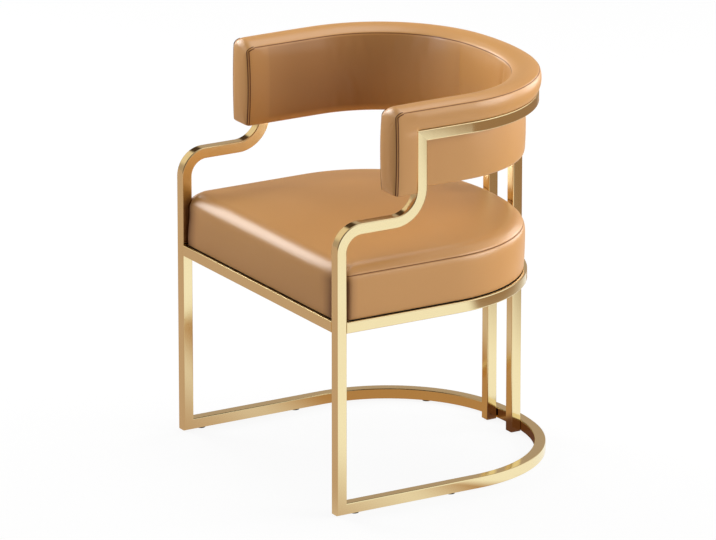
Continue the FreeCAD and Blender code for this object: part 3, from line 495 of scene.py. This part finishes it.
def along_back(depth, front, pitch):
    """Stops along half of the outline, from its right front to the middle of the back: on the
    straight side by how far back they are, on the two arcs by their angle."""
    middle, corner = path_centres(depth)
    turn = math.acos(CORNER_MID / (BACK_R - CORNER_R))
    stops = [("side", y) for y in spread(front, corner, round((corner - front) / pitch))]
    stops += [("corner", angle) for angle in spread(0, turn, round(CORNER_R * turn / pitch))]
    stops += [("back", angle) for angle in spread(turn, QUARTER, round(BACK_R * (QUARTER - turn) / pitch))]
    return stops + [("back", QUARTER)]


def stop_point(stop, depth, outwards):
    """The place of a stop, some distance outwards from the outline, as x and y."""
    middle, corner = path_centres(depth)
    kind, value = stop
    if kind == "side":
        return HALF + outwards, value
    centre_x, centre_y, radius = 0.0, middle, BACK_R + outwards
    if kind == "corner":
        centre_x, centre_y, radius = CORNER_MID, corner, CORNER_R + outwards
    return centre_x + radius * math.cos(value), centre_y + radius * math.sin(value)


def strips_across(first, width, pivot):
    """Faces that close a ring of points with strips from one side to the other."""
    strips = []
    for step in range(width // 2):
        strip = [pivot + step, pivot + step + 1, pivot - step - 1, pivot - step]
        corners = [first + corner % width for corner in strip]
        strips.append(tuple(dict.fromkeys(corners)))
    return strips


def grid_piece(name, rows, pivot=0):
    """A skin over rows of points; each row closes on itself, and strips that start at the pivot
    close the first and the last row."""
    points = [Vector((x, y + FRONT / MM, z)) * MM for row in rows for x, y, z in row]
    width = len(rows[0])
    faces = []
    for row in range(len(rows) - 1):
        for column in range(width):
            after = (column + 1) % width
            faces.append((row * width + column, row * width + after,
                          (row + 1) * width + after, (row + 1) * width + column))
    faces += [strip[::-1] for strip in strips_across(0, width, pivot)]
    faces += strips_across((len(rows) - 1) * width, width, pivot)
    mesh = bpy.data.meshes.new(name)
    mesh.from_pydata(points, [], faces)
    piece = bpy.data.objects.new(name, mesh)
    bpy.context.scene.collection.objects.link(piece)
    return piece


PRESSURE = 4.0
SWELL_FRAMES = 20
MERGE_DISTANCE = 0.00001


def swell(piece, held, cap):
    """Let a piece swell like a filled cover between the places where it is held."""
    group = piece.vertex_groups.new(name="held")
    for index, weight in enumerate(held):
        group.add([index], weight, "REPLACE")
    cloth = piece.modifiers.new("swell", "CLOTH")
    cloth.settings.vertex_group_mass = "held"
    cloth.settings.use_pressure = True
    cloth.settings.uniform_pressure_force = PRESSURE
    cloth.settings.effector_weights.gravity = 0.0
    for step in range(1, SWELL_FRAMES + 1):
        bpy.context.scene.frame_set(step)
    view = piece.evaluated_get(bpy.context.evaluated_depsgraph_get())
    moved = [vertex.co.copy() for vertex in view.data.vertices]
    piece.modifiers.remove(cloth)
    bpy.context.scene.frame_set(1)
    for vertex, place, weight in zip(piece.data.vertices, moved, held):
        shift = (place - vertex.co) * (1 - weight)
        if shift.length > cap:
            shift.length = cap
        vertex.co += shift


def upholster(piece, painted_shade, nodes):
    """Smooth a leather piece, give its points their painted shade and hand it over in place of
    its CAD solids."""
    marks = piece.data.attributes.new("painted_shade", "FLOAT", "POINT")
    for index, depth in enumerate(painted_shade):
        marks.data[index].value = depth
    bpy.ops.object.select_all(action="DESELECT")
    bpy.context.view_layer.objects.active = piece
    piece.select_set(True)
    bpy.ops.object.mode_set(mode="EDIT")
    bpy.ops.mesh.select_all(action="SELECT")
    bpy.ops.mesh.remove_doubles(threshold=MERGE_DISTANCE)
    bpy.ops.object.mode_set(mode="OBJECT")
    finer = piece.modifiers.new("finer", "SUBSURF")
    finer.levels = 1
    finer.render_levels = 1
    bpy.ops.object.modifier_apply(modifier=finer.name)
    bpy.ops.object.shade_smooth()
    piece.data.materials.append(leather)
    soft_lit.objects.link(piece)
    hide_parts(*nodes)
    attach(piece, "root")


SEAT_DEPTH = (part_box("seat_ring")[1].y - FRONT) / MM
CUSHION_LOW = 353.9
FOOT_INSET = 6.0
FOOT_ROUND = 0.6
# The leather turned in under the cushion: how far in and how high each row of it lies.
HEM = [(7.8, 366.8), (7.8, CUSHION_LOW + FOOT_ROUND), (7.4, CUSHION_LOW), (6.5, CUSHION_LOW),
       (FOOT_INSET, CUSHION_LOW + FOOT_ROUND)]
WALL_INSET = 4.0
WALL_TOP = 419.8
WALL_START = 0.04
WALL_ROWS = 9
ROLL_RISE = 31.0
ROLL_RUN = 34.0
ROLL_END = math.radians(84)
ROLL_ROWS = 8
CROWN = 9.0
CROWN_END = 196.0
CROWN_ROWS = 8
FLAT_INSET = 130.0
FLAT_LIFT = 0.6
LID_SHARES = (0.0, 0.2, 0.4, 0.6, 0.8, 0.93)
SEAM_HEIGHT = 432.8
SEAM_DEPTH = 1.5
# How far past the seam, as a turn of the roll, and how deep the leather lies there.
SEAM_GROOVE = [(-0.12, -0.3), (-0.04, -0.2), (0.0, SEAM_DEPTH), (0.04, -0.4), (0.12, -0.7)]
SEAM_CLEAR = 0.24
FRONT_ROUND = 9.0
FRONT_ROUND_GROWTH = 0.55
FRONT_POINTS = 18
ROUND_POINTS = 7
SIDE_FRONT = 30.0
SIDE_PITCH = 11.0
LEG_HALF = 257.8
LEG_BACK = 21.6
LEG_LEAST = 2.0
LEG_SHOULDER = 2.5
SHOULDER_MID = 0.8
BOW = 6.0
BOW_START = 368.0
BOW_RISE = 40.0
# Beside the front legs the leather is held, and painted shade darkens it there and low on the front.
PINNED_FROM = 240.0
PINNED_TO = 34.0
PINNED_OVER_SEAM = 4
LEG_FACE = 260.0
FRONT_SHADE_WIDTH = 48.0
SIDE_SHADE_START = 21.0
SIDE_SHADE_WIDTH = 20.0
LEG_SHADE_TOP = 446.0
LEG_SHADE_FADE = 24.0
LEG_SHADE_CURVE = 1.3
LOW_SHADE = 0.14
LOW_SHADE_TOP = 420.0
LOW_SHADE_FADE = 60.0
SEAT_CAP = 0.0035


def clamp(share):
    """A share held between 0 and 1."""
    return min(max(share, 0.0), 1.0)


def front_bow(x, height):
    """How far the front falls back towards the legs, above the board."""
    return BOW * (abs(x) / LEG_HALF) ** 6 * clamp((height - BOW_START) / BOW_RISE)


def seat_shade(x, y, z):
    """Painted shade on the leather beside a front leg and low on the front, where less light falls."""
    from_leg = (y - SIDE_SHADE_START) / SIDE_SHADE_WIDTH
    low = 0.0
    if y < TUBE / MM:
        from_leg = (LEG_FACE - abs(x)) / FRONT_SHADE_WIDTH
        low = LOW_SHADE * clamp((LOW_SHADE_TOP - z) / LOW_SHADE_FADE)
    beside = clamp(1.0 - from_leg) ** LEG_SHADE_CURVE * clamp((LEG_SHADE_TOP - z) / LEG_SHADE_FADE)
    return max(beside, low)


def cushion_row(inset, height, groove=0.0):
    """One closed D; where the front legs stand it is narrower. Gives its points and, for each,
    whether it lies on the sewn sides."""
    corner = FRONT_ROUND + FRONT_ROUND_GROWTH * max(inset - WALL_INSET, 0.0)
    wide = HALF - inset
    half = min(LEG_HALF, wide)
    start = inset + corner
    leg_end = max(LEG_BACK, start + LEG_LEAST)
    side_start = leg_end + LEG_SHOULDER
    points = [(x, inset, 0.0) for x in spread(0.0, half - corner, FRONT_POINTS)]
    for angle in spread(0.0, QUARTER, ROUND_POINTS):
        points.append((half - corner + corner * math.sin(angle), start - corner * math.cos(angle), 0.0))
    points = [(x, min(y + front_bow(x, height), start), mark) for x, y, mark in points]
    points += [(half, y, 0.0) for y in spread(start, leg_end, 2)]
    points += [(half, leg_end, 0.0), ((half + wide) / 2, leg_end + SHOULDER_MID, 0.5)]
    points.append((wide, side_start, 1.0))
    stops = along_back(SEAT_DEPTH, SIDE_FRONT, SIDE_PITCH)
    _, corner_y = path_centres(SEAT_DEPTH)
    side_count = len([stop for stop in stops if stop[0] == "side"])
    for index, stop in enumerate(stops):
        if stop[0] == "side":
            stop = ("side", side_start + (corner_y - side_start) * (index + 1) / (side_count + 1))
        points.append((*stop_point(stop, SEAT_DEPTH, -inset - groove), 1.0))
    left = [(-x, y, mark) for x, y, mark in reversed(points[1:-1])]
    return [(x, y, height, mark) for x, y, mark in points + left]


rows = [cushion_row(inset, height) for inset, height in HEM]
for share in spread(WALL_START, 1.0, WALL_ROWS):
    inset = WALL_INSET + (FOOT_INSET - WALL_INSET) * (1 - share) ** 2
    rows.append(cushion_row(inset, CUSHION_LOW + (WALL_TOP - CUSHION_LOW) * share))
seam_turn = math.asin((SEAM_HEIGHT - WALL_TOP) / ROLL_RISE)
roll_turns = [(0.0, 0.0), (0.35 * seam_turn, 0.0)]
roll_turns += [(seam_turn + past, groove) for past, groove in SEAM_GROOVE]
roll_turns += [(turn, 0.0) for turn in spread(seam_turn + SEAM_CLEAR, ROLL_END, ROLL_ROWS)]
seam_row = len(rows) + roll_turns.index((seam_turn, SEAM_DEPTH))
for turn, groove in roll_turns:
    rows.append(cushion_row(WALL_INSET + ROLL_RUN * (1 - math.cos(turn)),
                            WALL_TOP + ROLL_RISE * math.sin(turn), groove))
roll_inset = WALL_INSET + ROLL_RUN * (1 - math.cos(ROLL_END))
roll_height = WALL_TOP + ROLL_RISE * math.sin(ROLL_END)
for share in spread(0.0, (FLAT_INSET - roll_inset) / (CROWN_END - roll_inset), CROWN_ROWS):
    rows.append(cushion_row(roll_inset + (CROWN_END - roll_inset) * share,
                            roll_height + CROWN * (1 - (1 - share) ** 2)))
flat_row = cushion_row(FLAT_INSET, rows[-1][0][2] + FLAT_LIFT)
for share in LID_SHARES:
    rise = (roll_height + CROWN - flat_row[0][2]) * share * (2 - share)
    rows.append([(x * (1 - share), y + (SEAT_DEPTH / 2 - y) * share, z + rise, mark)
                 for x, y, z, mark in flat_row])
cushion = grid_piece("seat_cushion_padded", [[point[:3] for point in row] for row in rows])
held = []
painted_shade = []
for index, row in enumerate(rows):
    for x, y, z, mark in row:
        on_hem = index <= len(HEM)
        near_leg = abs(x) > PINNED_FROM and y < PINNED_TO and index < seam_row + PINNED_OVER_SEAM
        sewn = mark if index == seam_row else 0.0
        held.append(1.0 if on_hem or near_leg else sewn)
        # Painted shade: in the seam's groove, beside the front legs and low on the front.
        painted_shade.append(max(sewn, seat_shade(x, y, z)))
swell(cushion, held, SEAT_CAP)
upholster(cushion, painted_shade, ["seat_foam", "seat_top_cover", "seat_boxing"])

# The backrest pad: one padded form bent round the back ring. Behind the uprights its section steps
# round the tube; in front of them both ends are full and rounded. A boxed strip makes its top.
# A section is drawn as points outwards from the ring's outline and up from the floor.
PAD_LOW = 562.0
PAD_INNER = -50.0
PAD_RIM = 1.5
PAD_MIDDLE = (PAD_INNER + PAD_RIM) / 2
INNER_TOP = 707.0
OUTER_TOP = 712.0
INNER_BULGE = (PAD_INNER - 4.5, 636.0)
TOP_BULGE = (PAD_MIDDLE, 718.0)
OUTER_BULGE = (4.0, 637.0)
RIM_BULGE = (4.0, 694.0)
INNER_POINTS = 14
TOP_POINTS = 9
OUTER_POINTS = 27
RIM_POINTS = 7
EDGE_ROUND = 4.0
EDGE_CUT = 1.2
LIP = 3.2
LIP_SHARE = 0.4
LIP_DROP = 0.25
BELOW_SEAM = 4.0
ABOVE_FOOT = 1.0
SEAM_GAP = 1.5
END_SEAM_GAP = 0.5
LEDGE_BACK = -20.3
LEDGE_TOP = 675.3
LEDGE_LOW = 655.3
LEDGE_ROUND = 0.8
# How the rim turns into the ledge's top, and the points along that top and down the ledge's wall.
RIM_END = (-1.0, LEDGE_TOP + 1.5)
RIM_TURN = (-1.6, LEDGE_TOP + 0.2)
ALONG_LEDGE = (-3.0, -8.0, -14.0, -19.5)
DOWN_LEDGE = (LEDGE_TOP - LEDGE_ROUND, 670.0, 665.0, LEDGE_LOW + LEDGE_ROUND)
PAD_BACK = -28.3
BACK_START = 645.0
BACK_POINTS = 8
FOOT_POINTS = 4
PAD_DEPTH = (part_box("back_ring")[1].y - FRONT) / MM
PAD_FRONT = 115.0
STEP_AT = 160.5
STEP_RUN = 0.6
STEP_DRAW = 2.4
# Before the step, points outwards of this are drawn in, and fully so this run further out.
DRAW_FROM = -22.0
DRAW_RUN = 10.0
# The rounds at the two ends, and from where on the section's top and foot are drawn in by them.
END_ROUND = 18.0
LOWER_ROUND = 8.0
SIDE_ROUND = 9.0
DRAWN_OVER = 664.0
DRAWN_OVER_RUN = 48.0
DRAWN_OVER_MOST = 1.1
DRAWN_UNDER = 622.0
DRAWN_UNDER_RUN = 60.0
END_STOPS = (0.0, 0.5, 1.4, 2.7, 4.5, 7.0, 10.0, 14.0, 18.0)
# The flat of an end is closed by smaller outlines, drawn round a core line.
END_SHARES = (0.3, 0.5, 0.7, 0.9)
END_CROWN = 0.8
CORE_LOW = 590.0
CORE_TOP = 690.0
# Where the section changes before the step: how far back, how much and how far drawn in.
STEP_STOPS = ((138.0, 0.1, 0.0), (144.0, 0.3, 0.0), (150.0, 0.6, 0.0), (156.0, 0.9, 0.0),
              (158.8, 1.0, 0.0), (160.0, 1.0, 0.6))
ABOVE_TUBE = 9
EDGE_STOP = 4
HELD_BEFORE_STEP = 3
HELD_HEIGHT = 0.1
PAD_PITCH = 9.0
PAD_CAP = 0.002
# The inside gets painted shade in its hollow: from and to which row, counted from an end.
HOLLOW_SHADE = 0.36
HOLLOW_START = 7
HOLLOW_RISE = 16
HOLLOW_END = 67
HOLLOW_FALL = 30


def bow(start, end, middle, count):
    """Points along a shallow curve through a middle point, without its ends."""
    first, last, top = Vector(start), Vector(end), Vector(middle)
    peak = 2 * top - (first + last) / 2
    return [tuple(first * (1 - t) ** 2 + peak * 2 * t * (1 - t) + last * t * t)
            for t in [(index + 1) / (count + 1) for index in range(count)]]


def seam_corner(before, corner, after, depth):
    """A sewn edge: a rounded lip on both sides and a groove between them."""
    first, edge, last = Vector(before), Vector(corner), Vector(after)
    incoming, outgoing = (first - edge).normalized(), (last - edge).normalized()
    inwards = (incoming + outgoing).normalized()
    return [tuple(edge + incoming * LIP), tuple(edge + incoming * LIP * LIP_SHARE + inwards * LIP_DROP),
            tuple(edge + inwards * depth),
            tuple(edge + outgoing * LIP * LIP_SHARE + inwards * LIP_DROP), tuple(edge + outgoing * LIP)]


def pad_section(whole, gap):
    """The section's points and the two indices of its sewn edges. It is whole, or it steps back to
    a ledge over the tube. Both have the same number of points."""
    foot = PAD_LOW + EDGE_ROUND
    inner_edge, outer_edge = (PAD_INNER, INNER_TOP), (PAD_RIM, OUTER_TOP)
    points = [(PAD_INNER + EDGE_ROUND, PAD_LOW), (PAD_INNER + EDGE_CUT, PAD_LOW + EDGE_CUT),
              (PAD_INNER, foot)]
    points += bow((PAD_INNER, foot), (PAD_INNER, INNER_TOP - BELOW_SEAM), INNER_BULGE, INNER_POINTS)
    top = bow(inner_edge, outer_edge, TOP_BULGE, TOP_POINTS)
    points += seam_corner(points[-1], inner_edge, top[0], gap)
    sewn = [len(points) - 3]
    points += top[1:-1]
    if whole:
        outer = bow(outer_edge, (PAD_RIM, foot + ABOVE_FOOT), OUTER_BULGE, OUTER_POINTS)
    else:
        outer = bow(outer_edge, RIM_END, RIM_BULGE, RIM_POINTS)
    points += seam_corner(top[-1], outer_edge, outer[1], gap)
    sewn.append(len(points) - 3)
    points += outer[1:]
    back = PAD_RIM
    if not whole:
        back = PAD_BACK
        points += [RIM_TURN] + [(u, LEDGE_TOP) for u in ALONG_LEDGE]
        points += [(LEDGE_BACK, z) for z in DOWN_LEDGE]
        points += [(LEDGE_BACK - LEDGE_ROUND, LEDGE_LOW), (PAD_BACK + LEDGE_ROUND, LEDGE_LOW)]
        points += [(PAD_BACK, LEDGE_LOW - LEDGE_ROUND)]
        points += [(PAD_BACK, z) for z in spread(BACK_START, foot, BACK_POINTS)]
    points += [(back, foot), (back - EDGE_CUT, PAD_LOW + EDGE_CUT), (back - EDGE_ROUND, PAD_LOW)]
    underside = spread(back - EDGE_ROUND, PAD_INNER + EDGE_ROUND, FOOT_POINTS)
    points += [(u, PAD_LOW) for u in underside[1:]]
    return points, sewn


whole_section, sewn = pad_section(True, SEAM_GAP)
rebated_section, _ = pad_section(False, SEAM_GAP)
end_section, _ = pad_section(True, END_SEAM_GAP)


def end_round(radius, into):
    """How far a round of this radius draws an outline in, some way behind the front end."""
    return radius - math.sqrt(max(radius ** 2 - (radius - min(into, radius)) ** 2, 0.0))


def tucked(share, draw):
    """The full section on the way to the step. Above the tube it becomes the rebated one, and below
    the tube its outside is drawn in a little."""
    above = range(sewn[1], sewn[1] + ABOVE_TUBE)
    points = []
    for column, ((u, z), (step_u, step_z)) in enumerate(zip(whole_section, rebated_section)):
        if column in above:
            u, z = u + (step_u - u) * share, z + (step_z - z) * share
        elif z < LEDGE_TOP:
            u -= draw * clamp((u - DRAW_FROM) / DRAW_RUN)
        points.append((u, z))
    return points


def drawn_in(section, into):
    """The section near its end, drawn in at its top, its foot and its sides."""
    high = end_round(END_ROUND, into)
    low = end_round(LOWER_ROUND, into)
    side = end_round(SIDE_ROUND, into)
    drawn = []
    for u, z in section:
        up = min(max((z - DRAWN_OVER) / DRAWN_OVER_RUN, 0.0), DRAWN_OVER_MOST)
        down = clamp((DRAWN_UNDER - z) / DRAWN_UNDER_RUN)
        out = max(min((u - PAD_MIDDLE) / (PAD_RIM - PAD_MIDDLE), 1.0), -1.0)
        drawn.append((u - side * out, z - high * up + low * down))
    return drawn


def place_section(section, stop):
    """A section set up at one stop of the path."""
    return [(*stop_point(stop, PAD_DEPTH, u), z) for u, z in section]


def smooth(share):
    """A share that starts and ends gently."""
    return share ** 2 * (3 - 2 * share)


half_rows = [place_section(drawn_in(end_section, into), ("side", PAD_FRONT + into)) for into in END_STOPS]
half_rows += [place_section(tucked(share, draw), ("side", y)) for y, share, draw in STEP_STOPS]
step_rows = len(half_rows)
half_rows.append(place_section(tucked(1.0, STEP_DRAW), ("side", STEP_AT)))
half_rows += [place_section(rebated_section, stop)
              for stop in along_back(PAD_DEPTH, STEP_AT + STEP_RUN, PAD_PITCH)]
left_rows = [[(-x, y, z) for x, y, z in row] for row in reversed(half_rows[:-1])]
end_outline = half_rows[0]
end_middle = sum((Vector(point) / len(end_outline) for point in end_outline), Vector())
lids = []
for share in END_SHARES:
    ring = []
    for x, y, z in end_outline:
        core_z = max(min(z, CORE_TOP), CORE_LOW)
        ring.append((end_middle.x + (x - end_middle.x) * share, y - END_CROWN * (1 - share * share),
                     core_z + (z - core_z) * share))
    lids.append(ring)
left_lids = [[(-x, y, z) for x, y, z in ring] for ring in reversed(lids)]
rows = lids + half_rows + left_rows + left_lids
backrest = grid_piece("backrest_pad_padded", rows, (sewn[0] + sewn[1]) // 2)
held = []
painted_shade = []
for index, row in enumerate(rows):
    from_end = min(index, len(rows) - 1 - index) - len(lids)
    hollow = HOLLOW_SHADE * smooth(clamp((from_end - HOLLOW_START) / HOLLOW_RISE))
    hollow *= smooth(clamp((HOLLOW_END - from_end) / HOLLOW_FALL))
    for column, (x, y, z) in enumerate(row):
        behind = column >= sewn[1] + ABOVE_TUBE and from_end >= step_rows - HELD_BEFORE_STEP
        sewn_here = column in sewn and from_end >= len(END_STOPS) - 1
        on_foot = z < PAD_LOW + HELD_HEIGHT
        on_inside = 2 < column < sewn[0] - 1
        held.append(1.0 if behind or sewn_here or on_foot or from_end == EDGE_STOP else 0.0)
        # Painted shade in the sewn grooves and in the hollow of the inside.
        painted_shade.append(1.0 if sewn_here else hollow if on_inside else 0.0)
swell(backrest, held, PAD_CAP)
backrest.data.update()
skin = backrest.data.vertices

# The flat piping on the four upright front edges of the two ends, sewn down along both its sides.
# It runs up each edge and back over the end's round to the top seam.
# Each point of the band: sideways, outwards and whether it gets painted shade in a sewn groove.
BAND = [(-3.1, -0.9, 1.0), (-2.7, 0.0, 1.0), (-1.5, 0.3, 1.0), (-0.8, 0.6, 0.0), (0.8, 0.6, 0.0),
        (1.5, 0.3, 1.0), (2.7, 0.0, 1.0), (3.1, -0.9, 1.0)]
EDGE_ROW = len(lids) + EDGE_STOP
LAST_ROW = len(lids) + len(END_STOPS) - 1


def piping_band(name, route):
    """A band along a chain of the pad's own points, a little proud of them."""
    places = [skin[index].co for index in route]
    band_rows = []
    for index, place in enumerate(places):
        ahead = places[min(index + 1, len(places) - 1)] - places[max(index - 1, 0)]
        outwards = skin[route[index]].normal
        sideways = ahead.cross(outwards).normalized()
        ring = [place + (sideways * aside + outwards * out) * MM for aside, out, _ in BAND]
        band_rows.append([(point.x / MM, (point.y - FRONT) / MM, point.z / MM) for point in ring])
    return grid_piece(name, band_rows)


count = len(whole_section)
inner_columns = range(1, sewn[0])
outer_columns = range(count - 1 - FOOT_POINTS, sewn[1], -1)
for word, row_of in (("right", lambda row: row), ("left", lambda row: len(rows) - 1 - row)):
    for edge, seam, columns in (("inner", sewn[0], inner_columns), ("outer", sewn[1], outer_columns)):
        route = [row_of(EDGE_ROW) * count + column for column in columns]
        route += [row_of(row) * count + seam for row in range(EDGE_ROW, LAST_ROW + 1)]
        band = piping_band("piping_" + word + "_" + edge, route)
        # The band's sewn edges get painted shade.
        upholster(band, [mark for _, _, mark in BAND] * len(route), ["back_piping_" + word])
upholster(backrest, painted_shade, ["back_foam", "back_cover"])
pad_lit.objects.link(backrest)

# The recessed panel below the back ring: thin padding under the same leather, pulled flat over the
# outside of the shell and drawn in at its two ends.
PANEL_LOW = 563.0
PANEL_TOP = 654.6
PANEL_MIDDLE = 609.0
PANEL_FACE = -24.6
PANEL_CROWN = 1.7
PANEL_REAR = -28.0
PANEL_CORE = -26.5
PANEL_FRONT = 168.0
PANEL_PITCH = 12.0
PANEL_POINTS = 12
PANEL_EDGE = 0.6
PANEL_DRAWN = 0.015
# Where an end of the panel lies and how full its section is there.
PANEL_ENDS = ((162.4, 0.3), (163.0, 0.8), (164.5, 1.0))

face = bow((PANEL_FACE, PANEL_LOW), (PANEL_FACE, PANEL_TOP), (PANEL_FACE + PANEL_CROWN, PANEL_MIDDLE),
           PANEL_POINTS)
panel_section = [(PANEL_FACE - PANEL_EDGE, PANEL_LOW), *face, (PANEL_FACE - PANEL_EDGE, PANEL_TOP)]
panel_section += [(PANEL_REAR, z) for z in (PANEL_TOP, PANEL_MIDDLE, PANEL_LOW)]
half_rows = []
for y, share in PANEL_ENDS:
    height_share = 1 - PANEL_DRAWN * (1 - share)
    section = [(PANEL_CORE + (u - PANEL_CORE) * share, PANEL_MIDDLE + (z - PANEL_MIDDLE) * height_share)
               for u, z in panel_section]
    half_rows.append(place_section(section, ("side", y)))
half_rows += [place_section(panel_section, stop)
              for stop in along_back(PAD_DEPTH, PANEL_FRONT, PANEL_PITCH)]
rows = half_rows + [[(-x, y, z) for x, y, z in row] for row in reversed(half_rows[:-1])]
panel = grid_piece("outer_panel_padded", rows, PANEL_POINTS // 2 + 1)
upholster(panel, [0.0] * len(panel.data.vertices), ["back_outer_panel"])

low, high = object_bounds()
